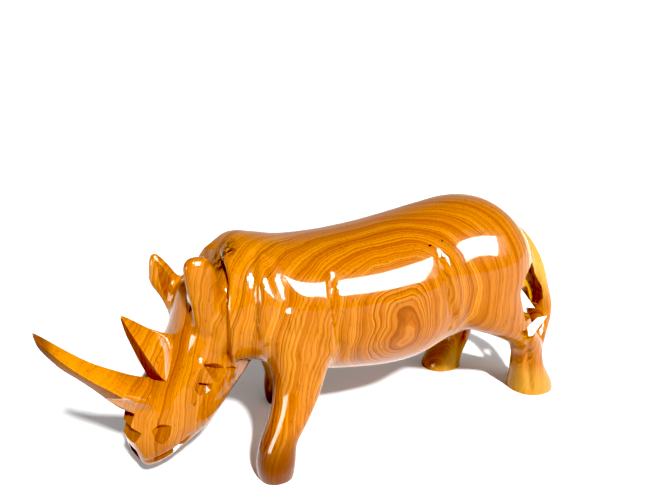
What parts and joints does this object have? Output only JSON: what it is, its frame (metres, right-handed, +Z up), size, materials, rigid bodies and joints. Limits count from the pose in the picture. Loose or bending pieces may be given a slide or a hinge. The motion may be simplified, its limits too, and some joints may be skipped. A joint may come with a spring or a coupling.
{
  "type": "rhinoceros figurine",
  "caption": "Carved hardwood rhinoceros, walking with its head lowered and turned, with two horns, upright ears and a pierced opening beside the tail.",
  "frame": {"origin": "middle of the figure's length and width, on the surface that its four soles stand on", "axes": "the animal faces -X, its left side is towards -Y, +Z is up"},
  "size_m": [0.2349, 0.0706, 0.0976],
  "materials": {
    "lacquered_wood": "orange-brown hardwood with dark rings and pale sapwood, under clear gloss lacquer"
  },
  "bodies": {
    "root": {"rhinoceros": "lacquered_wood"}
  },
  "joints": []
}
